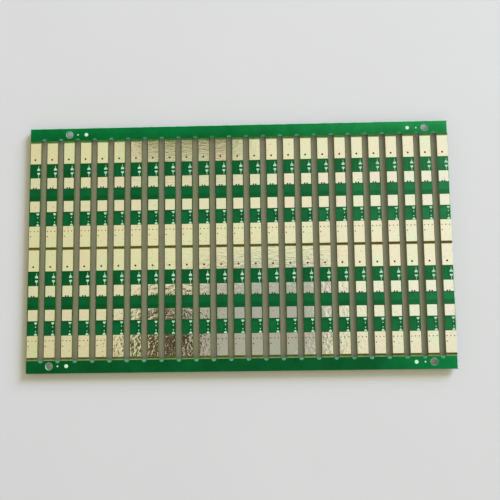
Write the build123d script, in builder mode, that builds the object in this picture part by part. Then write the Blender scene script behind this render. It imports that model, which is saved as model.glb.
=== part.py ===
"""Production panel of slim one-cell battery protection boards.

Two rows of boards lie side by side between two rails. Routed slots part the
columns, V-scores part the rows and the rails, and the boards snap off there.
The upper side carries four gold-plated terminal pads on each board. The under
side carries the protection circuit, and the panel rests on its tallest parts.

Origin: centre of the panel, on the surface that it lies on. +X runs along the
rails, +Y towards the rail beside the battery-minus pads, +Z up to the pads.
"""

import os

from build123d import *

# Panel layout, in millimetres
column_count = 25
row_count = 2
board_width = 4.0
board_length = 38.3
rail_width = 5.0
laminate_thickness = 1.0

# Routed slots between columns, and V-scores cut from both faces, leaving a web to snap
slot_width = 2.0
score_width = 0.4
score_depth = 0.35

# Tooling holes on the centre lines of the rails, each in line with a column counted from its end
tooling_hole_diameter = 2.5
tooling_column = 2
key_column = 3

# Terminal pads: battery pads at the ends of a board, pack pads between them
pad_thickness = 0.05
pad_end_margin = 0.35
battery_pad_length = 7.6
battery_pad_side_margin = 0.15
pack_pad_length = 3.85
pack_pad_side_margin = 0.3
outer_gap_share = 0.347

# Moulded bodies on the under side: the controller and the pair of switches in one package
controller_length = 2.9
controller_width = 1.6
controller_height = 1.15
switch_length = 4.4
switch_width = 3.0
switch_height = 1.05
mould_draft_degrees = 7

# Chip parts on the under side, which lie across the board
chip_length = 1.6
chip_width = 0.8
resistor_height = 0.45
capacitor_height = 0.8

# Places of the parts along a board, as shares of its length from its upper end
switch_share = 0.30
sense_resistor_share = 0.425
controller_share = 0.53
supply_resistor_share = 0.62
capacitor_share = 0.68

# Sizes and levels that follow
pitch = board_width + slot_width
rows_length = row_count * board_length
panel_length = column_count * pitch - slot_width
panel_width = rows_length + 2 * rail_width
laminate_bottom = max(controller_height, switch_height)
laminate_top = laminate_bottom + laminate_thickness
battery_pad_width = board_width - 2 * battery_pad_side_margin
pack_pad_width = board_width - 2 * pack_pad_side_margin

# A slot's straight sides end at the far edges of the outer scores, and its round ends lie in the rails
slot_length = rows_length + score_width + slot_width

# Places that follow
rail_y = (rows_length + rail_width) / 2
score_lines = [rows_length / 2 - line * board_length for line in range(row_count + 1)]
bare_length = board_length - 2 * (pad_end_margin + battery_pad_length + pack_pad_length)
battery_pad_y = board_length / 2 - pad_end_margin - battery_pad_length / 2
pack_pad_y = (
    battery_pad_y - (battery_pad_length + pack_pad_length) / 2 - outer_gap_share * bare_length
)


def column_x(number):
    """Centre line of a column, counted from the right end of the panel."""
    return panel_length / 2 - board_width / 2 - (number - 1) * pitch


def places_on_boards(y):
    """The same place on every board, this far above the middle of the board."""
    grid = GridLocations(pitch, board_length, column_count, row_count)
    return [Location((0, y, 0)) * place for place in grid]


def below_board_end(share):
    """The same place under every board, this share of its length from its upper end."""
    return places_on_boards(board_length / 2 - share * board_length)


def terminal_pads(y, width, length):
    """A terminal pad on every board."""
    with BuildPart() as pads:
        with BuildSketch(Plane.XY.offset(laminate_top)):
            with Locations(*places_on_boards(y)):
                Rectangle(width, length)
        extrude(amount=pad_thickness)
    return pads.part


def chip_parts(share, height):
    """A chip part under every board."""
    with BuildPart() as chips:
        with BuildSketch(Plane.XY.offset(laminate_bottom)):
            with Locations(*below_board_end(share)):
                Rectangle(chip_length, chip_width)
        extrude(amount=-height)
    return chips.part


def moulded_bodies(share, width, length, height):
    """A moulded body under every board, its sides drawn in towards its lower face."""
    seat = Plane.XY.offset(laminate_bottom)
    with BuildPart() as body:
        with BuildSketch(seat):
            Rectangle(width, length)
        extrude(amount=-height)
        sides = body.faces().filter_by(Axis.Z, reverse=True)
        draft(sides, neutral_plane=seat, angle=-mould_draft_degrees)
    with BuildPart() as bodies:
        with Locations(*below_board_end(share)):
            add(body.part)
    return bodies.part


# Glass-fibre laminate with its slots, tooling holes and scores: the upper left hole is the key
with BuildPart() as laminate:
    with BuildSketch(Plane.XY.offset(laminate_bottom)):
        Rectangle(panel_length, panel_width)
        with GridLocations(pitch, 0, column_count - 1, 1):
            SlotOverall(slot_length, slot_width, rotation=90, mode=Mode.SUBTRACT)
        with Locations(
            (-column_x(key_column), rail_y),
            (column_x(tooling_column), rail_y),
            (-column_x(tooling_column), -rail_y),
            (column_x(tooling_column), -rail_y),
        ):
            Circle(tooling_hole_diameter / 2, mode=Mode.SUBTRACT)
    extrude(amount=laminate_thickness)
    with BuildSketch(Plane.YZ):
        with Locations(*[(y, z) for y in score_lines for z in (laminate_bottom, laminate_top)]):
            Polygon(
                (-score_width / 2, 0),
                (0, -score_depth),
                (score_width / 2, 0),
                (0, score_depth),
            )
    extrude(amount=panel_length, both=True, mode=Mode.SUBTRACT)

# Every piece by its name, the pads and parts in order from the upper end of a board to its lower end
pieces = {
    "laminate_panel": laminate.part,
    "battery_minus_pads": terminal_pads(battery_pad_y, battery_pad_width, battery_pad_length),
    "pack_minus_pads": terminal_pads(pack_pad_y, pack_pad_width, pack_pad_length),
    "pack_plus_pads": terminal_pads(-pack_pad_y, pack_pad_width, pack_pad_length),
    "battery_plus_pads": terminal_pads(-battery_pad_y, battery_pad_width, battery_pad_length),
    "switch_pairs": moulded_bodies(switch_share, switch_width, switch_length, switch_height),
    "sense_resistors": chip_parts(sense_resistor_share, resistor_height),
    "protection_controllers": moulded_bodies(
        controller_share, controller_width, controller_length, controller_height
    ),
    "supply_resistors": chip_parts(supply_resistor_share, resistor_height),
    "filter_capacitors": chip_parts(capacitor_share, capacitor_height),
}

os.makedirs("parts", exist_ok=True)
for name, piece in pieces.items():
    piece.label = name
    export_step(piece, f"parts/{name}.step")
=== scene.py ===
"""Looks of a production panel of slim battery protection boards.

The panel lies on a pale table with its gold terminal pads up. Green solder mask,
masked copper, plated vias, printed marks and fiducials dress the upper side. Leads,
lands, solder and chip end caps dress the parts of the under side.
"""

import math

import bpy
from mathutils import Euler, Matrix, Vector
from mathutils.geometry import tessellate_polygon


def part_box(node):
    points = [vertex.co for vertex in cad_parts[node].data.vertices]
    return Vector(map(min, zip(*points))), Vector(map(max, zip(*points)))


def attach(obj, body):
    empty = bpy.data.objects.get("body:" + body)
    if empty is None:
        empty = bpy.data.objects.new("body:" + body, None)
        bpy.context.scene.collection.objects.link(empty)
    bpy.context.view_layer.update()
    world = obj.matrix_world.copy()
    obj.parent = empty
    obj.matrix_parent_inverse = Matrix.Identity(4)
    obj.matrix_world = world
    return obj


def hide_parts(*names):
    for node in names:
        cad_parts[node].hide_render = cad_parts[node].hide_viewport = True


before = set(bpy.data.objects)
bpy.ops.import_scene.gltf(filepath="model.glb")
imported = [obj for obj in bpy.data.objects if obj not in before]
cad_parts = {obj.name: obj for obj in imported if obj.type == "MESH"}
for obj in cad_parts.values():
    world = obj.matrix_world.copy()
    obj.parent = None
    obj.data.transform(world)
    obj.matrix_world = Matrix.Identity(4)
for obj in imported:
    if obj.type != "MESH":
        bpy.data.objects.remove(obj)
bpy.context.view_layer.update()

# Lengths in this script are in millimetres, and MM turns them into the metres of the frame
MM = 0.001

# Layout of the panel. Tooling holes are in line with columns, counted from 0 at either end, and the
# upper left hole, the key, is further in.
COLUMNS = 25
ROWS = 2
BOARD_WIDTH = 4.0
SLOT_WIDTH = 2.0
RAIL_WIDTH = 5.0
SCORE_WIDTH = 0.4
HOLE_RADIUS = 1.25
HOLE_COLUMN = 1
KEY_COLUMN = 2
HOLE_STEPS = 32

# Rise of a chamfered edge for each millimetre that it goes in
EDGE_STEEPNESS = 2.0

# Terminal pads, whose plating keeps a little back from the scores
PAD_EDGE = 0.014
PAD_CORNER = 0.12
SCORE_SETBACK = 0.15

# Vias: place across a board from its middle, place along it from its upper end, and radius.
# Plugs lie at the bottom of those in the battery pads, and beads stand on the pack-minus pads.
BATTERY_MINUS_VIAS = [(-0.16, 6.4, 0.34)]
PACK_MINUS_VIAS = [(-0.58, 16.68, 0.3), (0.28, 16.68, 0.3)]
BATTERY_PLUS_VIAS = [(-1.35, 32.1, 0.18), (-0.05, 32.1, 0.18), (1.25, 32.1, 0.18), (-1.35, 33.95, 0.2)]
VIA_STEPS = 14
PLUG_OVERLAP = 0.03
PLUG_HEIGHT = 0.012
BEAD_RISE = 0.012
BEAD_EDGE = 0.02

# Solder mask, and how far it keeps back from cut edges, holes, pads and the scores beside the rails
MASK_HEIGHT = 0.03
MASK_EDGE = 0.012
MASK_SETBACK = 0.04
HOLE_CLEARANCE = 0.1
WINDOW_MARGIN = 0.06
UPPER_RAIL_GAP = 0.3
LOWER_RAIL_GAP = 0.62
BAY_STEPS = 12

# Copper under the mask: width, start and end along a board, and middle across it
COPPER_AREAS = [(0.3, 8.7, 12.7, -0.6), (3.5, 17.35, 19.7, 0.0), (2.2, 26.2, 30.1, -0.7)]
COPPER_HEIGHT = 0.044
COPPER_EDGE = 0.02
COPPER_CORNER = 0.12

# Printed marks: dots by their places along a board, and pointers by their place along it,
# half width, length of the head, whole length and way, 1 up the board and -1 down it.
# The outline of a head is shares of its half width and of its length.
MARK_ACROSS = 1.08
MARK_DOTS = [27.3, 28.85]
MARK_DOT_RADIUS = 0.21
MARK_DOT_STEPS = 12
POINTERS = [
    (10.35, 0.62, 1.0, 1.75, 1),
    (11.05, 0.56, 0.9, 1.8, -1),
    (25.7, 0.54, 0.8, 0.85, -1),
    (30.25, 0.56, 0.75, 0.8, 1),
]
POINTER_SHARES = [(0.8, 0.0), (1.0, 0.25), (0.6, 0.7)]
STEM_WIDTH = 0.15
INK_BASE = 0.02
INK_HEIGHT = 0.052
INK_EDGE = 0.01

# Fiducials on the rails, each with a dot beside it
FIDUCIAL_RADIUS = 0.64
FIDUCIAL_CLEARANCE = 0.08
FIDUCIAL_STEPS = 24
DOT_RADIUS = 0.27
DOT_STEPS = 16

# Pale strips on the cut rim, a painted highlight, and pale rings in the tooling holes, painted light
RIM_WIDTH = 0.22
RIM_HEIGHT = 0.036
RIM_INSET = 0.01
RIM_CORNER = 0.05
RIM_EDGE = 0.01
LINING = 0.03

# Pale fringes at the slot ends, painted light at the lower rail and painted shade at the upper one, and
# dark lips along the slots, painted shade
FRINGE_OPENING = 0.4
FRINGE_RADIUS = 0.8
FRINGE_SWEEP_DEGREES = 160
FRINGE_STEPS = 14
UPPER_HALO = 0.2
LOWER_HALO = 0.45
LIP_REACH = 0.13
LIP_ROOT = 0.02
LIP_STEP = 0.7
LIP_THICKNESS = 0.08
LIP_HEIGHT = 0.012
LIP_RAGGEDNESS = 0.35
LIP_WAVE = 2.4

# Where bare laminate turns from dark to pale, outwards from the scores beside the rails. The dark tone also
# paints shade in the score grooves. The pale band beside the lower rail is bare laminate drawn pale, partly
# as a painted highlight on the lit slope of the groove
LOWER_FADE = (0.19, 0.45)
UPPER_FADE = (-0.67, -0.41)

# Moulded bodies of the under side, with the shares of their height where the parting line runs
MOULD_CORNER = 0.1
MOULD_FOOT_INSET = 0.06
MOULD_DRAFT = 0.072
MOULD_EDGE_INSET = 0.05
MOULD_EDGE_HEIGHT = 0.06
PARTING_SHARES = (0.52, 0.58)

# Leads. The side view of one is offsets from its knee and heights over the board, out along
# its upper face and back along its lower one.
SWITCH_LEADS = {"pitch": 0.65, "count": 4, "width": 0.27, "span": 6.4}
CONTROLLER_LEADS = {"pitch": 0.95, "count": 3, "width": 0.4, "span": 2.8}
LEAD_ROOT = 0.1
LEAD_KNEE_SHARE = 0.4
LEAD_UPPER = [(-0.08, 0.62), (0.0, 0.56), (0.1, 0.22), (0.18, 0.14)]
LEAD_LOWER = [(0.1, 0.02), (0.0, 0.1), (-0.1, 0.43), (-0.16, 0.48)]

# Copper lands of the under side
LAND_HEIGHT = 0.045
LAND_EDGE = 0.015
LAND_MARGIN = 0.12
LEAD_LAND_SIDE = 0.06
LEAD_LAND_LENGTH = 0.55
LEAD_LAND_CORNER = 0.05
CHIP_LAND_CORNER = 0.08

# End caps of the chip parts, and the solder that rises to them
CAP_LENGTH = 0.32
CAP_COVER = 0.02
CAP_CORNER = 0.05
CAP_EDGE = 0.03
SOLDER_SHARE = 0.6
SOLDER_REACH = 0.2
SOLDER_TOE = 0.05
SOLDER_WAIST = 0.08
SOLDER_WAIST_SHARE = 0.35
SOLDER_INSET = 0.02

# Table, whose grey drifts from dark to light towards the lamp's side, a painted fall-off of the light
FLOOR_SIZE = 4000.0
FLOOR_CLOUDS = 40.0
FLOOR_CLOUD_SHARE = 0.2
FLOOR_RISE = (0.6, 0.8, 0.0)
FLOOR_REACH = 180.0
FLOOR_DARK = 204
FLOOR_LIGHT = 220

# Lamp: its height over the table, its turn from +X, and how wide it looks
LAMP_HEIGHT_DEGREES = 24
LAMP_TURN_DEGREES = 45
LAMP_WIDTH_DEGREES = 26
LAMP_STRENGTH = 4.9
LAMP_COLOUR = (0.60, 0.67, 0.96)

# Walls of the room from left to right, over a paler horizon that ends between two heights
HORIZON = (0.80, 0.79, 0.77, 1.0)
HORIZON_END = (0.3, 0.5)
WALL_TONES = [
    (0.3, (0.28, 0.25, 0.13, 1.0)),
    (0.5, (0.36, 0.335, 0.09, 1.0)),
    (0.68, (1.12, 1.05, 0.52, 1.0)),
    (0.9, (0.75, 0.68, 0.46, 1.0)),
]

# Ceiling from left to right, starting between two heights. Its places are slopes from straight up,
# which are worked out over the least height.
CEILING_START = (0.85, 0.91)
CEILING_REACH = 0.4
CEILING_TONES = [
    (0.05, (0.73, 0.71, 0.485, 1.0)),
    (0.45, (0.84, 0.82, 0.62, 1.0)),
    (0.85, (0.95, 0.95, 0.86, 1.0)),
]
LEAST_HEIGHT = 0.05

# Darker shapes on the ceiling: middle and half size to the right and to the rear, softness of
# the edge, how much the shape covers, and colour
OVERHEAD_GREY = (0.42, 0.43, 0.42, 1.0)
OVERHEAD_BROWN = (0.10, 0.08, 0.04, 1.0)
OVERHEAD_BLACK = (0.045, 0.028, 0.016, 1.0)
OVERHEAD_SHAPES = [
    ((0.0, -0.12), (0.7, 0.12), 0.4, 0.11, OVERHEAD_BROWN),
    ((-0.003, -0.015), (0.095, 0.105), 0.06, 1.0, OVERHEAD_GREY),
    ((-0.155, -0.0565), (0.05, 0.0515), 0.1, 1.0, OVERHEAD_BLACK),
    ((-0.1435, 0.014), (0.0385, 0.034), 0.12, 1.0, OVERHEAD_BLACK),
    ((-0.115, 0.30), (0.085, 0.07), 0.4, 0.36, OVERHEAD_BROWN),
    ((-0.12, 0.32), (0.08, 0.042), 0.15, 1.0, OVERHEAD_BROWN),
]

# Camera, fitted to the corners, holes and pads of the panel, with its turns in degrees
CAMERA_PLACE = (10.05, -27.15, 235.66)
CAMERA_TURN = (6.213, 1.595, -0.804)
CAMERA_LENS = 48.58
CAMERA_SENSOR = 36.0
CAMERA_NEAR = 10.0

# Levels and edges of the panel, from the frame
panel_low, panel_high = (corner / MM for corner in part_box("laminate_panel"))
laminate_bottom = panel_low.z
laminate_top = panel_high.z
laminate_thickness = laminate_top - laminate_bottom
rows_top = panel_high.y - RAIL_WIDTH
rail_y = panel_high.y - RAIL_WIDTH / 2
slot_end = rows_top + SCORE_WIDTH / 2
board_length = 2 * rows_top / ROWS
pitch = BOARD_WIDTH + SLOT_WIDTH

# Places of the scores, the columns, the slots between them, and the upper ends of the boards
score_places = [rows_top - line * board_length for line in range(ROWS + 1)]
column_places = [panel_low.x + BOARD_WIDTH / 2 + pitch * column for column in range(COLUMNS)]
slot_places = [(left + right) / 2 for left, right in zip(column_places, column_places[1:])]
board_places = [Vector((x, y, 0.0)) for y in score_places[:-1] for x in column_places]


class Layout:
    """Size of a node's solids, and where they lie along a board from its upper end."""

    def __init__(self, node):
        low, high = (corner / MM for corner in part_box(node))
        self.node = node
        self.width = 2 * (high.x - column_places[-1])
        self.height = high.z - low.z
        self.start = rows_top - high.y
        self.end = board_places[-1].y - low.y
        self.length = self.end - self.start
        self.middle = (self.start + self.end) / 2


battery_minus = Layout("battery_minus_pads")
pack_minus = Layout("pack_minus_pads")
pack_plus = Layout("pack_plus_pads")
battery_plus = Layout("battery_plus_pads")
switches = Layout("switch_pairs")
controller = Layout("protection_controllers")
chips = [Layout(node) for node in ("sense_resistors", "supply_resistors", "filter_capacitors")]


# Outlines in the plane of the panel, each a list of points

def arc(x, y, radius, start, end, steps):
    """Points of an arc from one angle to another, in degrees."""
    angles = [math.radians(start + (end - start) * step / steps) for step in range(steps + 1)]
    return [Vector((x + radius * math.cos(angle), y + radius * math.sin(angle))) for angle in angles]


def circle(x, y, radius, steps):
    """A full circle."""
    return arc(x, y, radius, 0, 360, steps)[:-1]


def rounded(left, right, low, high, radius, steps=3):
    """A rectangle with round corners."""
    corners = [
        (right - radius, high - radius, 0),
        (left + radius, high - radius, 90),
        (left + radius, low + radius, 180),
        (right - radius, low + radius, 270),
    ]
    return [point for x, y, turn in corners for point in arc(x, y, radius, turn, turn + 90, steps)]


def band(width, start, end, radius, middle=0.0):
    """A rounded rectangle on a board, from its start to its end along the board."""
    return rounded(middle - width / 2, middle + width / 2, -end, -start, radius)


def flipped(loop):
    """The loop on the other rail."""
    return [Vector((point.x, -point.y)) for point in loop]


def wound(loop, clockwise):
    """The loop, turned the wanted way round."""
    area = sum(a.x * b.y - b.x * a.y for a, b in zip(loop, loop[1:] + loop[:1]))
    return loop if (area < 0) == clockwise else loop[::-1]


def shrunk(loop, inset):
    """The loop with each side moved to its left by the inset."""
    moved_points = []
    for before, point, after in zip(loop[-1:] + loop[:-1], loop, loop[1:] + loop[:1]):
        along_in = (point - before).normalized()
        along_out = (after - point).normalized()
        left_in = Vector((-along_in.y, along_in.x))
        left_out = Vector((-along_out.y, along_out.x))
        moved_points.append(point + (left_in + left_out) * inset / (1 + left_in.dot(left_out)))
    return moved_points


# Shapes, each a list of points and a list of faces

def plate(loops, low, high, edge=0.0):
    """A flat plate between two heights: an outline, then openings, with chamfered upper edges."""
    loops = [wound(loop, number > 0) for number, loop in enumerate(loops)]
    levels = [(low, 0.0), (high - EDGE_STEEPNESS * edge, 0.0)] + ([(high, edge)] if edge else [])
    points, faces, rings = [], [], []
    for height, inset in levels:
        ring = []
        for loop in loops:
            start = len(points)
            points.extend(point.to_3d() + Vector((0, 0, height)) for point in shrunk(loop, inset))
            ring.append(list(range(start, len(points))))
        rings.append(ring)
    for lower, upper in zip(rings, rings[1:]):
        for below, above in zip(lower, upper):
            faces.extend(strip(below, above))
    faces.extend(fill(points, rings[0], up=False))
    faces.extend(fill(points, rings[-1], up=True))
    return points, faces


def strip(below, above):
    """Side faces between two rings of point numbers."""
    pairs = list(zip(below, above))
    return [(a, b, d, c) for (a, c), (b, d) in zip(pairs, pairs[1:] + pairs[:1])]


def fill(points, ring, up):
    """Triangles between the loops of a ring, facing up or down."""
    numbers = [number for loop in ring for number in loop]
    faces = []
    for corners in tessellate_polygon([[points[number].to_2d() for number in loop] for loop in ring]):
        a, b, c = (numbers[corner] for corner in corners)
        first = points[b] - points[a]
        second = points[c] - points[a]
        faces.append((a, b, c) if (first.x * second.y > first.y * second.x) == up else (a, c, b))
    return faces


def loft(sections):
    """A closed solid through sections of equal point counts, from the lowest to the highest."""
    points, faces, rings = [], [], []
    for loop, height in sections:
        start = len(points)
        points.extend(point.to_3d() + Vector((0, 0, height)) for point in wound(loop, False))
        rings.append(list(range(start, len(points))))
    for below, above in zip(rings, rings[1:]):
        faces.extend(strip(below, above))
    return points, faces + [tuple(reversed(rings[0])), tuple(rings[-1])]


def standing(profile, width):
    """A side view, along X and up, made as wide as this across Y."""
    side = plate([[Vector(point) for point in profile]], -width / 2, width / 2)
    return turned(side, Matrix.Rotation(math.pi / 2, 3, "X"))


def joined(shapes):
    """Several shapes as one."""
    points, faces = [], []
    for shape_points, shape_faces in shapes:
        start = len(points)
        points.extend(shape_points)
        faces.extend(tuple(start + number for number in face) for face in shape_faces)
    return points, faces


def moved(shape, offset):
    """The shape at another place."""
    points, faces = shape
    return [point + offset for point in points], faces


def turned(shape, matrix):
    """The shape turned about the origin."""
    points, faces = shape
    return [matrix @ point for point in points], faces


def along_board(shape, along):
    """The shape this far from the upper end of a board."""
    return moved(shape, Vector((0, -along, 0)))


def on_boards(shape):
    """The shape on every board."""
    return joined([moved(shape, place) for place in board_places])


def over(shape):
    """A shape that stands on the upper side of the laminate."""
    return moved(shape, Vector((0, 0, laminate_top)))


def under(shape):
    """A shape that hangs from the lower side of the laminate, its heights turned downwards."""
    points, faces = shape
    mirrored = [Vector((point.x, point.y, laminate_bottom - point.z)) for point in points]
    return mirrored, [tuple(reversed(face)) for face in faces]


def make_piece(name, shape, finish, replaces=()):
    """A piece of the panel from its shape, with its finish and its ties to the frame."""
    points, faces = shape
    mesh = bpy.data.meshes.new(name)
    mesh.from_pydata([point * MM for point in points], [], faces)
    mesh.validate()
    mesh.materials.append(finish)
    piece = bpy.data.objects.new(name, mesh)
    bpy.context.scene.collection.objects.link(piece)
    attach(piece, "root")
    if replaces:
        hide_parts(*replaces)


# Finishes

def srgb(red, green, blue):
    """A colour as it looks on a screen, in the linear values of a shader."""
    shares = [value / 255 for value in (red, green, blue)]
    linear = [share / 12.92 if share <= 0.04045 else ((share + 0.055) / 1.055) ** 2.4 for share in shares]
    return (*linear, 1.0)


def grey(level):
    """A grey as it looks on a screen."""
    return srgb(level, level, level)


WHITE = grey(255)


class Nodes:
    """A node tree that is built up node by node."""

    def __init__(self, owner):
        owner.use_nodes = True
        self.tree = owner.node_tree

    def node(self, kind, links=(), operation=None, **values):
        """A new node with linked inputs and set values, by the names of its inputs."""
        node = self.tree.nodes.new(kind)
        if operation:
            node.operation = operation
        for socket, output in dict(links).items():
            self.tree.links.new(output, node.inputs[socket])
        for socket, value in values.items():
            node.inputs[socket].default_value = value
        return node

    def number(self, operation, first, second):
        """Two numbers worked together. The second may be plain."""
        node = self.node("ShaderNodeMath", {0: first}, operation)
        if isinstance(second, bpy.types.NodeSocket):
            self.tree.links.new(second, node.inputs[1])
        else:
            node.inputs[1].default_value = second
        return node.outputs["Value"]

    def vector(self, operation, first, second=None):
        """A vector worked by another, which is plain."""
        node = self.node("ShaderNodeVectorMath", {0: first}, operation)
        if second is not None:
            node.inputs[1].default_value = second
        return node.outputs["Value" if operation == "DOT_PRODUCT" else "Vector"]

    def spread(self, factor, start, end, low=0.0, high=1.0, smooth=False):
        """A number that runs from low to high while the factor runs from start to end."""
        node = self.node("ShaderNodeMapRange", {"Value": factor})
        node.interpolation_type = "SMOOTHSTEP" if smooth else "LINEAR"
        for socket, value in (("From Min", start), ("From Max", end), ("To Min", low), ("To Max", high)):
            node.inputs[socket].default_value = value
        return node.outputs["Result"]

    def tones(self, factor, *stops):
        """Colours along a factor, each stop a place and a colour."""
        ramp = self.node("ShaderNodeValToRGB", {"Fac": factor})
        elements = ramp.color_ramp.elements
        while len(elements) < len(stops):
            elements.new(0.5)
        for element, (place, colour) in zip(elements, stops):
            element.position = place
            element.color = colour
        return ramp.outputs["Color"]

    def mixed(self, factor, first, second, blend="MIX"):
        """Two colours mixed by a factor."""
        mix = self.tree.nodes.new("ShaderNodeMixRGB")
        mix.blend_type = blend
        for socket, value in (("Fac", factor), ("Color1", first), ("Color2", second)):
            if isinstance(value, bpy.types.NodeSocket):
                self.tree.links.new(value, mix.inputs[socket])
            else:
                mix.inputs[socket].default_value = value
        return mix.outputs["Color"]


class Finish(Nodes):
    """A material whose textures are sized in millimetres."""

    def __init__(self, name, roughness, metallic=0.0, specular=0.5):
        self.material = bpy.data.materials.new(name)
        super().__init__(self.material)
        self.surface = self.tree.nodes["Principled BSDF"]
        self.surface.inputs["Roughness"].default_value = roughness
        self.surface.inputs["Metallic"].default_value = metallic
        self.surface.inputs["Specular IOR Level"].default_value = specular
        coordinates = self.tree.nodes.new("ShaderNodeTexCoord").outputs
        self.place = coordinates["Object"]
        self.facing = coordinates["Normal"]

    def noise(self, size, detail=2.0, stretch=(1, 1, 1)):
        """Cloudy noise with lumps of this size, drawn out by the stretch."""
        scale = [1 / (size * MM * part) for part in stretch]
        mapping = self.node("ShaderNodeMapping", {"Vector": self.place}, Scale=scale)
        texture = self.node(
            "ShaderNodeTexNoise",
            {"Vector": mapping.outputs["Vector"]},
            Scale=1.0,
            Detail=detail,
            Roughness=0.5,
        )
        return texture.outputs["Fac"]

    def layers(self, period):
        """Bands that follow each other upwards, one for each period.

        At a scale of 1 the wave texture repeats every pi / 10.
        """
        mapping = self.node("ShaderNodeMapping", {"Vector": self.place}, Scale=[1 / MM] * 3)
        texture = self.node(
            "ShaderNodeTexWave",
            {"Vector": mapping.outputs["Vector"]},
            Scale=math.pi / (10 * period),
            Distortion=1.5,
            Detail=2.0,
        )
        texture.bands_direction = "Z"
        return texture.outputs["Fac"]

    def up_panel(self, start, end, low=0.0, high=1.0):
        """A number that runs from low to high between two places up the panel."""
        up = self.vector("DOT_PRODUCT", self.place, (0, 1, 0))
        return self.spread(up, start * MM, end * MM, low, high)

    def across_panel(self):
        """A number that runs from 0 at the lower left corner of the panel to 1 at the upper right one."""
        half_diagonal = panel_high.xy.length * MM
        towards = panel_high.xy.normalized().to_3d()
        return self.spread(self.vector("DOT_PRODUCT", self.place, towards), -half_diagonal, half_diagonal)

    def between(self, factor, low, high):
        """A number that runs from low to high with the middle half of a factor."""
        return self.spread(factor, 0.25, 0.75, low, high)

    def mottled(self, size, dark, light, detail=3.0):
        """Two tones in soft blotches of about this size."""
        return self.tones(self.noise(size, detail), (0.3, dark), (0.7, light))

    def colour(self, output):
        """Sets the colour of the surface."""
        self.tree.links.new(output, self.surface.inputs["Base Color"])

    def roughness(self, output):
        """Sets the roughness of the surface."""
        self.tree.links.new(output, self.surface.inputs["Roughness"])

    def relief(self, height, depth):
        """Small bumps of this depth."""
        bump = self.node("ShaderNodeBump", {"Height": height}, Strength=1.0, Distance=depth * MM)
        self.tree.links.new(bump.outputs["Normal"], self.surface.inputs["Normal"])


def laminate_finish():
    """Bare glass-fibre laminate: dark faces, which also paint the shade in the score grooves, paler beside
    the rails, with a painted highlight by the lower score, and olive layers in the cut walls.
    """
    finish = Finish("bare laminate", roughness=0.6, specular=0.2)
    # Painted shade: this dark face tone also darkens the score grooves as if they were in shade
    dark = srgb(110, 106, 52)
    top = panel_high.y
    # Painted highlight: the pale band beside the lower score partly stands for light on the groove's lit
    # slope
    stops = [
        (-rows_top - LOWER_FADE[1], srgb(120, 170, 110)),
        (-rows_top - LOWER_FADE[0], dark),
        (rows_top + UPPER_FADE[0], dark),
        (rows_top + UPPER_FADE[1], srgb(112, 150, 92)),
    ]
    face = finish.tones(finish.up_panel(-top, top), *(((y + top) / (2 * top), tone) for y, tone in stops))
    walls = finish.tones(finish.layers(period=0.17), (0.2, srgb(104, 116, 48)), (0.8, srgb(128, 138, 66)))
    on_face = finish.spread(finish.vector("DOT_PRODUCT", finish.facing, (0, 0, 1)), 0.2, 0.4)
    blotches = finish.mottled(1.6, srgb(216, 208, 186), WHITE)
    finish.colour(finish.mixed(1.0, finish.mixed(on_face, walls, face), blotches, "MULTIPLY"))
    finish.relief(finish.noise(0.25, detail=3), depth=0.02)
    return finish.material


def mask_finish(name, dark, middle, light, foot=None):
    """Glossy solder mask, lighter towards the upper right corner of the panel, where painted light
    brightens it on the lamp's side.

    A foot is a grey that darkens it beside the upper score: painted shade, lighter towards the rail's top
    edge.
    """
    finish = Finish(name, roughness=0.3, specular=0.08)
    # Painted light: the coat grows lighter towards the upper right corner, on the lamp's side
    coat = finish.tones(finish.across_panel(), (0.1, dark), (0.6, middle), (1.0, light))
    if foot:
        # Painted shade: the upper rail is darker beside the upper score and lighter towards its top edge
        painted_shade_fade = finish.tones(finish.up_panel(rows_top, panel_high.y), (0.1, foot), (0.85, WHITE))
        coat = finish.mixed(1.0, coat, painted_shade_fade, "MULTIPLY")
    clouds = finish.mottled(5.0, grey(222), WHITE, detail=4)
    finish.colour(finish.mixed(1.0, coat, clouds, "MULTIPLY"))
    finish.roughness(finish.between(finish.noise(1.5), 0.24, 0.4))
    finish.relief(finish.noise(0.7, detail=3), depth=0.006)
    return finish.material


def gold_finish(name, blue):
    """Immersion gold in tints with this much blue, over dents and fine lines of scrubbed copper.

    The dents are deeper towards the lower end of the panel.
    """
    finish = Finish(name, roughness=0.08, metallic=1.0)
    tint = finish.tones(
        finish.noise(7.0, detail=1),
        (0.32, srgb(250, 240, blue)),
        (0.5, srgb(246, 244, blue)),
        (0.68, srgb(241, 246, blue)),
    )
    stains = finish.tones(finish.noise(1.1, detail=4), (0.28, srgb(214, 196, 150)), (0.4, WHITE))
    finish.colour(finish.mixed(0.4, tint, stains, "MULTIPLY"))
    finish.roughness(finish.between(finish.noise(1.8, detail=3), 0.05, 0.12))
    deepness = finish.up_panel(-board_length, board_length / 2, 1.75, 0.4)
    dents = finish.number("MULTIPLY", finish.noise(1.2, detail=1), deepness)
    lines = finish.number("MULTIPLY", finish.noise(0.33, detail=1, stretch=(6.0, 1.0, 1.0)), 0.35)
    finish.relief(finish.number("ADD", dents, lines), depth=0.022)
    return finish.material


def pale_finish(name, dark, light):
    """A pale mottled surface: the painted highlight of the cut rim, the painted light and shade of the slot
    fringes, the painted light of the hole linings, and the fiducials.
    """
    finish = Finish(name, roughness=0.5, specular=0.2)
    finish.colour(finish.mottled(2.5, dark, light))
    finish.relief(finish.noise(0.2), depth=0.006)
    return finish.material


def tin_finish():
    """Bright tin on leads, lands, solder and chip ends."""
    finish = Finish("bright tin", roughness=0.3, metallic=1.0)
    finish.colour(finish.mottled(0.5, srgb(205, 206, 202), srgb(240, 242, 236)))
    finish.roughness(finish.between(finish.noise(0.3), 0.25, 0.45))
    finish.relief(finish.noise(0.15), depth=0.006)
    return finish.material


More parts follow.
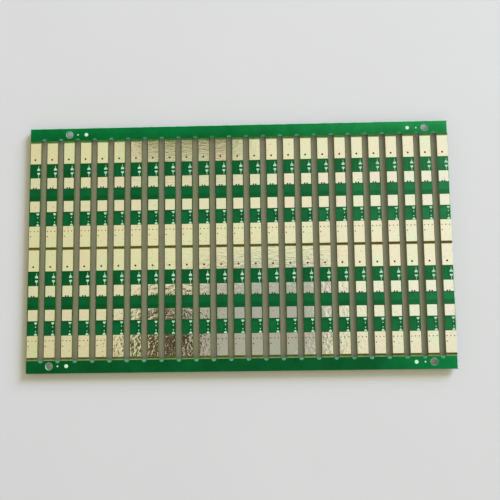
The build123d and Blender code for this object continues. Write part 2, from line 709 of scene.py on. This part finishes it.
def ink_finish():
    """White printed ink, a little thin, so that the green below tints it."""
    finish = Finish("white ink", roughness=0.55, specular=0.3)
    cover = finish.noise(0.5, detail=3)
    finish.colour(finish.tones(cover, (0.3, srgb(132, 188, 152)), (0.55, srgb(184, 222, 196))))
    finish.relief(finish.noise(0.12), depth=0.005)
    return finish.material


def grained_finish(name, dark, light, roughness, grain):
    """Moulded epoxy, glaze, ceramic, resin, or the painted shade of the slot lips, with a fine grain."""
    finish = Finish(name, roughness=roughness, specular=0.4)
    finish.colour(finish.mottled(grain * 2, dark, light))
    finish.relief(finish.noise(grain, detail=3), depth=grain / 12)
    return finish.material


# Pieces of the upper side

def hole_places():
    """Tooling holes, each with the direction towards the middle of its rail."""
    return [
        (column_places[KEY_COLUMN], rail_y, 1),
        (column_places[-1 - HOLE_COLUMN], rail_y, -1),
        (column_places[HOLE_COLUMN], -rail_y, 1),
        (column_places[-1 - HOLE_COLUMN], -rail_y, -1),
    ]


def hole_loops(margin):
    """Circles round the tooling holes, this far out from their walls."""
    return [circle(x, y, HOLE_RADIUS + margin, HOLE_STEPS) for x, y, _ in hole_places()]


def fiducial_loops(margin=0.0):
    """A fiducial one column inward of each tooling hole, and a dot between them."""
    loops = []
    for x, y, inward in hole_places():
        loops.append(circle(x + inward * pitch, y, FIDUCIAL_RADIUS + margin, FIDUCIAL_STEPS))
        loops.append(circle(x + inward * pitch / 2, y, DOT_RADIUS + margin, DOT_STEPS))
    return loops


def rail_outline(gap):
    """Coated part of the upper rail, this far from its score, with a bay round the end of every slot."""
    inner = rows_top + gap
    start = math.degrees(math.asin((inner - slot_end) / FRINGE_RADIUS))
    left = panel_low.x + MASK_SETBACK
    right = panel_high.x - MASK_SETBACK
    top = panel_high.y - MASK_SETBACK
    outline = [Vector((left, inner))]
    for x in slot_places:
        outline += arc(x, slot_end, FRINGE_RADIUS, 180 - start, start, BAY_STEPS)
    return outline + [Vector((right, inner)), Vector((right, top)), Vector((left, top))]


def rail_masks(openings):
    """Coating of the upper rail and of the lower one, with their openings."""
    upper = [rail_outline(UPPER_RAIL_GAP)] + [loop for loop in openings if loop[0].y > 0]
    lower = [flipped(rail_outline(LOWER_RAIL_GAP))] + [loop for loop in openings if loop[0].y < 0]
    return [plate(loops, 0.0, MASK_HEIGHT, MASK_EDGE) for loops in (upper, lower)]


def upper_mask():
    """Coating of the middle of every board, with windows for the pack pads."""
    margin = WINDOW_MARGIN
    width = BOARD_WIDTH - 2 * MASK_SETBACK
    loops = [band(width, battery_minus.end + margin, battery_plus.start - margin, PAD_CORNER)]
    for pad in (pack_minus, pack_plus):
        loops.append(band(pad.width + 2 * margin, pad.start - margin, pad.end + margin, PAD_CORNER))
    return over(on_boards(plate(loops, 0.0, MASK_HEIGHT, MASK_EDGE)))


def masked_copper():
    """Copper that shows through the coating as slightly raised, lighter areas."""
    loops = [band(width, start, end, COPPER_CORNER, middle) for width, start, end, middle in COPPER_AREAS]
    return over(on_boards(joined([plate([loop], 0.0, COPPER_HEIGHT, COPPER_EDGE) for loop in loops])))


def plating(pad, setbacks, vias):
    """A terminal pad on every board, set back at its two ends, with the bores of its vias."""
    loops = [band(pad.width, pad.start + setbacks[0], pad.end - setbacks[1], PAD_CORNER)]
    loops += [circle(across, -along, radius, VIA_STEPS) for across, along, radius in vias]
    return over(on_boards(plate(loops, 0.0, pad.height, PAD_EDGE)))


def via_plugs():
    """Dark resin at the bottom of the vias of the battery pads, and in beads on the pack-minus pads."""
    plugs = [
        plate([circle(across, -along, radius + PLUG_OVERLAP, VIA_STEPS)], 0.0, PLUG_HEIGHT)
        for across, along, radius in BATTERY_MINUS_VIAS + BATTERY_PLUS_VIAS
    ]
    beads = [
        plate([circle(across, -along, radius, VIA_STEPS)], 0.0, pack_minus.height + BEAD_RISE, BEAD_EDGE)
        for across, along, radius in PACK_MINUS_VIAS
    ]
    return over(on_boards(joined(plugs + beads)))


def fiducials():
    """Tinned discs and dots on the rails, as high as the pads."""
    return over(joined([plate([loop], 0.0, battery_minus.height, PAD_EDGE) for loop in fiducial_loops()]))


def pointer(along, half_width, head, length, way):
    """A mark that narrows from a broad foot to a stem, which points up the board or down it."""
    half = [(wide * half_width, far * head) for wide, far in POINTER_SHARES]
    half += [(STEM_WIDTH / 2, head), (STEM_WIDTH / 2, length)]
    outline = half + [(-x, y) for x, y in reversed(half)]
    return [Vector((MARK_ACROSS + x, way * y - along)) for x, y in outline]


def printed_marks():
    """Plain marks beside the pads that show which way round a cell goes."""
    loops = [pointer(*sizes) for sizes in POINTERS]
    loops += [circle(MARK_ACROSS, -along, MARK_DOT_RADIUS, MARK_DOT_STEPS) for along in MARK_DOTS]
    return over(on_boards(joined([plate([loop], INK_BASE, INK_HEIGHT, INK_EDGE) for loop in loops])))


def hole_linings():
    """Pale rings on the rims and the walls of the tooling holes, painted light that brightens them as if
    lit through the laminate.
    """
    rims = hole_loops(HOLE_CLEARANCE)
    bores = hole_loops(-LINING)
    rings = [plate(loops, -laminate_thickness, RIM_HEIGHT, MASK_EDGE) for loops in zip(rims, bores)]
    return over(joined(rings))


def bright_rim():
    """Pale strips along the upper rail and at the right end of the panel, a painted highlight where the cut
    edges catch the lamp's light.
    """
    left, right, top = panel_low.x, panel_high.x, panel_high.y
    half_score = SCORE_WIDTH / 2
    loops = [rounded(left, right, top - RIM_WIDTH, top - RIM_INSET, RIM_CORNER)]
    cuts = [top - RIM_WIDTH, *score_places, -top]
    for high, low in zip(cuts, cuts[1:]):
        sides = (right - RIM_WIDTH, right - RIM_INSET)
        loops.append(rounded(*sides, low + half_score, high - half_score, RIM_CORNER))
    return over(joined([plate([loop], 0.0, RIM_HEIGHT, RIM_EDGE) for loop in loops]))


def slot_fringes(side, halo):
    """Crescents at the slot ends of the upper rail, side 1, or the lower one, side -1: painted light at the
    lower rail, painted shade at the upper one.
    """
    end = side * slot_end
    first = 90 * side - FRINGE_SWEEP_DEGREES / 2
    last = first + FRINGE_SWEEP_DEGREES
    loops = []
    for x in slot_places:
        outer = arc(x, end + side * halo, FRINGE_RADIUS, first, last, FRINGE_STEPS)
        inner = arc(x, end, FRINGE_OPENING, first, last, FRINGE_STEPS)
        loops.append(outer + inner[::-1])
    return over(joined([plate([loop], 0.0, RIM_HEIGHT) for loop in loops]))


def lip_outline(number, edge, top, length):
    """One lip on the edge of a slot: ragged towards the slot, straight along its root in the board."""
    steps = round(board_length / LIP_STEP)
    outline = []
    for step in range(steps + 1):
        reach = LIP_REACH * (1 + LIP_RAGGEDNESS * math.sin(LIP_WAVE * step * step + number))
        outline.append(Vector((edge - reach, top - length * step / steps)))
    return outline + [Vector((edge + LIP_ROOT, top - length)), Vector((edge + LIP_ROOT, top))]


def slot_lips():
    """Ragged dark lips on the right side of every slot, painted shade where the board beside it darkens the
    slot.
    """
    length = board_length - SCORE_WIDTH
    shapes = []
    for number, x in enumerate(slot_places):
        for score in score_places[:-1]:
            lip = lip_outline(number, x + SLOT_WIDTH / 2, score - SCORE_WIDTH / 2, length)
            shapes.append(plate([lip], -LIP_THICKNESS, LIP_HEIGHT))
    return over(joined(shapes))


# Pieces of the under side

def lower_mask():
    """Coating of the lower side of every board and of the rails."""
    width = BOARD_WIDTH - 2 * MASK_SETBACK
    loop = band(width, UPPER_RAIL_GAP, board_length - UPPER_RAIL_GAP, PAD_CORNER)
    boards = on_boards(plate([loop], 0.0, MASK_HEIGHT, MASK_EDGE))
    return under(joined([boards, *rail_masks(hole_loops(MASK_SETBACK))]))


def moulded_bodies(body):
    """A moulded body under every board, widest at its parting line, with soft edges."""
    def section(inset):
        half_width = body.width / 2 - inset
        half_length = body.length / 2 - inset
        return rounded(-half_width, half_width, -half_length, half_length, MOULD_CORNER)

    sections = [
        (section(MOULD_FOOT_INSET), 0.0),
        (section(0.0), PARTING_SHARES[0] * body.height),
        (section(0.0), PARTING_SHARES[1] * body.height),
        (section(MOULD_DRAFT), body.height - MOULD_EDGE_HEIGHT),
        (section(MOULD_DRAFT + MOULD_EDGE_INSET), body.height),
    ]
    return under(on_boards(along_board(loft(sections), body.middle)))


def lead(root, span, width):
    """A gull-wing lead: out of the body, down to the board and along it, pointing towards +X."""
    tip = span / 2
    knee = root + LEAD_KNEE_SHARE * (tip - root)
    profile = [
        (root - LEAD_ROOT, LEAD_UPPER[0][1]),
        *((knee + offset, height) for offset, height in LEAD_UPPER),
        (tip, LEAD_UPPER[-1][1]),
        (tip, LEAD_LOWER[0][1]),
        *((knee + offset, height) for offset, height in LEAD_LOWER),
        (root - LEAD_ROOT, LEAD_LOWER[-1][1]),
    ]
    return standing(profile, width)


def lead_places(leads):
    """Places of the leads along one side of a package, from its middle."""
    middle = (leads["count"] - 1) / 2
    return [(number - middle) * leads["pitch"] for number in range(leads["count"])]


def lead_rows(root, leads):
    """Both rows of leads of a package, pointing along X."""
    one = lead(root, leads["span"], leads["width"])
    row = [moved(one, Vector((0, place, 0))) for place in lead_places(leads)]
    half_turn = Matrix.Rotation(math.pi, 3, "Z")
    return joined(row + [turned(shape, half_turn) for shape in row])


def package_leads():
    """Leads of the switch pairs, which point along the boards, and of the controllers."""
    quarter_turn = Matrix.Rotation(math.pi / 2, 3, "Z")
    switch_leads = turned(lead_rows(switches.length / 2, SWITCH_LEADS), quarter_turn)
    controller_leads = lead_rows(controller.width / 2, CONTROLLER_LEADS)
    both = [
        along_board(switch_leads, switches.middle),
        along_board(controller_leads, controller.middle),
    ]
    return under(on_boards(joined(both)))


def lead_lands(leads, along, across):
    """Outlines of the copper lands of a package: its leads point across the board or along it."""
    half_width = leads["width"] / 2 + LEAD_LAND_SIDE
    near = leads["span"] / 2 - LEAD_LAND_LENGTH
    far = leads["span"] / 2 + LAND_MARGIN
    loops = []
    for place in lead_places(leads):
        row = (place - half_width, place + half_width)
        for side in (-1, 1):
            reach = sorted((side * near, side * far))
            (left, right), (low, high) = (reach, row) if across else (row, reach)
            loops.append(rounded(left, right, low - along, high - along, LEAD_LAND_CORNER))
    return loops


def chip_lands(chip):
    """Outlines of the two lands of a chip part."""
    half_width = chip.length / 2 + LAND_MARGIN / 2
    near = chip.width / 2 - CAP_LENGTH
    far = chip.width / 2 + 2 * LAND_MARGIN
    loops = []
    for side in (-1, 1):
        reach = sorted((side * near, side * far))
        loops.append(rounded(*reach, -half_width - chip.middle, half_width - chip.middle, CHIP_LAND_CORNER))
    return loops


def copper_lands():
    """Tinned copper lands of every part of the under side."""
    loops = lead_lands(SWITCH_LEADS, switches.middle, across=False)
    loops += lead_lands(CONTROLLER_LEADS, controller.middle, across=True)
    for chip in chips:
        loops += chip_lands(chip)
    return under(on_boards(joined([plate([loop], 0.0, LAND_HEIGHT, LAND_EDGE) for loop in loops])))


def chip_ends():
    """Metal end caps of the chip parts, each with a slope of solder at its foot."""
    shapes = []
    for chip in chips:
        half_width = chip.length / 2 + CAP_COVER
        outer = chip.width / 2 + CAP_COVER
        for side in (-1, 1):
            reach = sorted((side * (outer - CAP_LENGTH), side * outer))
            loop = rounded(*reach, -half_width, half_width, CAP_CORNER)
            cap = plate([loop], 0.0, chip.height + CAP_COVER, CAP_EDGE)
            slope = moved(solder_slope(chip, side), Vector((side * outer, 0, 0)))
            shapes.append(along_board(joined([cap, slope]), chip.middle))
    return under(on_boards(joined(shapes)))


def solder_slope(chip, side):
    """Solder that rises from a land to one end of a chip, which is at the origin."""
    height = SOLDER_SHARE * chip.height
    profile = [
        (0.0, 0.0),
        (SOLDER_REACH, 0.0),
        (SOLDER_REACH, SOLDER_TOE),
        (SOLDER_WAIST, SOLDER_WAIST_SHARE * height),
        (0.0, height),
    ]
    slope = standing(profile, chip.length - 2 * SOLDER_INSET)
    return slope if side > 0 else turned(slope, Matrix.Rotation(math.pi, 3, "Z"))


# Pieces with their finishes

def finish_nodes():
    """Finishes of the solids that show as they are."""
    glaze = grained_finish("black glaze", srgb(26, 26, 30), srgb(48, 48, 54), roughness=0.35, grain=0.1)
    ceramic = grained_finish(
        "fired ceramic", srgb(150, 118, 86), srgb(178, 146, 110), roughness=0.5, grain=0.1
    )
    finishes = {
        "laminate_panel": laminate_finish(),
        "sense_resistors": glaze,
        "supply_resistors": glaze,
        "filter_capacitors": ceramic,
    }
    for node, finish in finishes.items():
        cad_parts[node].active_material = finish


def coat_panel():
    """Solder mask on both sides, and the copper that shows through it."""
    mask = mask_finish("solder mask", srgb(0, 82, 36), srgb(4, 92, 44), srgb(38, 116, 66))
    over_copper = mask_finish("mask over copper", srgb(2, 92, 44), srgb(12, 102, 54), srgb(44, 134, 80))
    # Painted light and shade: the upper rail's mask is a lit copy of the coat and the lower rail's a shaded
    # copy
    lit_upper_tones = [srgb(0, 114, 54), srgb(0, 120, 56), srgb(34, 154, 82)]
    lit_upper_rail_finish = mask_finish("upper rail mask", *lit_upper_tones, foot=grey(214))
    shaded_lower_rail_finish = mask_finish("lower rail mask", srgb(0, 84, 38), srgb(0, 88, 42), srgb(6, 180, 90))
    openings = hole_loops(HOLE_CLEARANCE) + fiducial_loops(FIDUCIAL_CLEARANCE)
    upper_rail, lower_rail = rail_masks(openings)
    make_piece("solder_mask_upper", upper_mask(), mask)
    make_piece("upper_rail_mask", over(upper_rail), lit_upper_rail_finish)
    make_piece("lower_rail_mask", over(lower_rail), shaded_lower_rail_finish)
    make_piece("solder_mask_lower", lower_mask(), mask)
    make_piece("masked_copper", masked_copper(), over_copper)


def plate_pads():
    """Gold plating of the pads, and the resin of their vias."""
    battery_gold = gold_finish("gold plate", blue=220)
    pack_gold = gold_finish("pale gold plate", blue=228)
    resin = grained_finish("dark resin", srgb(34, 20, 12), srgb(62, 40, 24), roughness=0.6, grain=0.1)
    for pad, setbacks, vias, gold in (
        (battery_minus, (SCORE_SETBACK, 0.0), BATTERY_MINUS_VIAS, battery_gold),
        (pack_minus, (0.0, 0.0), [], pack_gold),
        (pack_plus, (0.0, 0.0), [], pack_gold),
        (battery_plus, (0.0, SCORE_SETBACK), BATTERY_PLUS_VIAS, battery_gold),
    ):
        name = pad.node.replace("pads", "plating")
        make_piece(name, plating(pad, setbacks, vias), gold, [pad.node])
    make_piece("via_plugs", via_plugs(), resin)


def trim_panel():
    """Fiducials, print, and pale and dark pieces on the rims, slot ends, slot sides and holes, which paint
    light and shade there.
    """
    tinned = pale_finish("tinned dot", srgb(186, 226, 196), srgb(218, 244, 222))
    # Painted light: pale linings brighten the tooling holes
    lining = pale_finish("hole lining", srgb(108, 164, 124), srgb(148, 198, 164))
    # Painted highlight: pale strips on the cut rim where the edges catch the lamp
    painted_edge_highlight = pale_finish("cut edge", srgb(150, 200, 165), srgb(216, 240, 224))
    # Painted shade: dark lips along the right side of every slot
    painted_slot_shade = grained_finish("painted slot shade", srgb(58, 54, 22), srgb(84, 80, 38), roughness=0.6, grain=0.2)
    # Painted light and shade: pale crescents at the lower slot ends, darker ones at the upper ends
    shaded_upper_fringe = pale_finish("upper fringe", srgb(44, 122, 66), srgb(78, 146, 94))
    lit_lower_fringe = pale_finish("lower fringe", srgb(70, 134, 90), srgb(100, 158, 120))
    make_piece("fiducial_marks", fiducials(), tinned)
    make_piece("hole_linings", hole_linings(), lining)
    make_piece("printed_marks", printed_marks(), ink_finish())
    make_piece("bright_rim", bright_rim(), painted_edge_highlight)
    make_piece("slot_lips", slot_lips(), painted_slot_shade)
    make_piece("upper_slot_fringes", slot_fringes(1, UPPER_HALO), shaded_upper_fringe)
    make_piece("lower_slot_fringes", slot_fringes(-1, LOWER_HALO), lit_lower_fringe)


def dress_parts():
    """Packages of the under side, and the metal of all its parts."""
    epoxy = grained_finish("black epoxy", srgb(22, 22, 23), srgb(38, 38, 40), roughness=0.55, grain=0.08)
    tin = tin_finish()
    for body in (switches, controller):
        make_piece(body.node + "_moulding", moulded_bodies(body), epoxy, [body.node])
    make_piece("package_leads", package_leads(), tin)
    make_piece("copper_lands", copper_lands(), tin)
    make_piece("chip_end_caps", chip_ends(), tin)


# Table, room, light and camera

def make_floor():
    """A pale table under the panel, painted lighter towards the lamp's side."""
    half = FLOOR_SIZE / 2 * MM
    corners = [(-half, -half, 0), (half, -half, 0), (half, half, 0), (-half, half, 0)]
    mesh = bpy.data.meshes.new("floor")
    mesh.from_pydata(corners, [], [(0, 1, 2, 3)])
    floor = bpy.data.objects.new("floor", mesh)
    bpy.context.scene.collection.objects.link(floor)
    finish = Finish("pale table", roughness=0.6, specular=0.2)
    reach = FLOOR_REACH * MM
    # Painted light: the table is drawn lighter towards the lamp's side
    painted_light_drift = finish.spread(finish.vector("DOT_PRODUCT", finish.place, FLOOR_RISE), -reach, reach)
    clouds = finish.number("MULTIPLY", finish.noise(FLOOR_CLOUDS), FLOOR_CLOUD_SHARE)
    tone = finish.number("ADD", painted_light_drift, clouds)
    finish.colour(finish.tones(tone, (0.1, grey(FLOOR_DARK)), (1.0, grey(FLOOR_LIGHT))))
    mesh.materials.append(finish.material)


def ceiling_tones(room, direction, upward):
    """A bright ceiling, with a few darker shapes for the pads to mirror."""
    steepness = room.number("POWER", room.number("MAXIMUM", upward, LEAST_HEIGHT), -1.0)
    slope = room.node("ShaderNodeVectorMath", {0: direction, "Scale": steepness}, "SCALE").outputs["Vector"]
    rightward = room.vector("DOT_PRODUCT", slope, (1, 0, 0))
    ceiling = room.tones(room.spread(rightward, -CEILING_REACH, CEILING_REACH), *CEILING_TONES)
    for middle, half_size, soft, cover, colour in OVERHEAD_SHAPES:
        offset = room.vector("SUBTRACT", slope, (*middle, 1.0))
        scaled = room.vector("ABSOLUTE", room.vector("DIVIDE", offset, (*half_size, 1.0)))
        sides = room.node("ShaderNodeSeparateXYZ", {"Vector": scaled}).outputs
        reach = room.number("MAXIMUM", sides["X"], sides["Y"])
        inside = room.spread(reach, 1 - soft, 1 + soft, cover, 0.0, smooth=True)
        ceiling = room.mixed(inside, ceiling, colour)
    return ceiling


def make_room():
    """A warm room round the panel, with a bright ceiling."""
    world = bpy.data.worlds.new("room")
    room = Nodes(world)
    direction = room.node("ShaderNodeTexCoord").outputs["Generated"]
    parts = room.node("ShaderNodeSeparateXYZ", {"Vector": direction}).outputs
    ceiling = ceiling_tones(room, direction, parts["Z"])
    walls = room.tones(room.spread(parts["X"], -1.0, 1.0), *WALL_TONES)
    above_horizon = room.spread(parts["Z"], *HORIZON_END, smooth=True)
    overhead = room.spread(parts["Z"], *CEILING_START, smooth=True)
    surround = room.mixed(overhead, room.mixed(above_horizon, HORIZON, walls), ceiling)
    room.tree.links.new(surround, room.tree.nodes["Background"].inputs["Color"])
    bpy.context.scene.world = world


def make_lamp():
    """A broad cool light, low beyond the upper right corner of the panel."""
    lamp = bpy.data.lights.new("key", "SUN")
    lamp.angle = math.radians(LAMP_WIDTH_DEGREES)
    lamp.energy = LAMP_STRENGTH
    lamp.color = LAMP_COLOUR
    key = bpy.data.objects.new("key", lamp)
    height = math.radians(LAMP_HEIGHT_DEGREES)
    turn = math.radians(LAMP_TURN_DEGREES)
    level = math.cos(height)
    towards = Vector((level * math.cos(turn), level * math.sin(turn), math.sin(height)))
    key.location = towards
    key.rotation_euler = (-towards).to_track_quat("-Z", "Y").to_euler()
    bpy.context.scene.collection.objects.link(key)


def make_camera():
    """The camera over the panel, a little below its middle."""
    lens = bpy.data.cameras.new("camera")
    lens.lens = CAMERA_LENS
    lens.sensor_width = CAMERA_SENSOR
    lens.clip_start = CAMERA_NEAR * MM
    camera = bpy.data.objects.new("camera", lens)
    camera.location = Vector(CAMERA_PLACE) * MM
    camera.rotation_euler = Euler([math.radians(turn) for turn in CAMERA_TURN])
    bpy.context.scene.collection.objects.link(camera)
    bpy.context.scene.camera = camera


finish_nodes()
coat_panel()
plate_pads()
trim_panel()
dress_parts()
make_floor()
make_room()
make_lamp()
make_camera()
bpy.context.scene.view_settings.view_transform = "Standard"
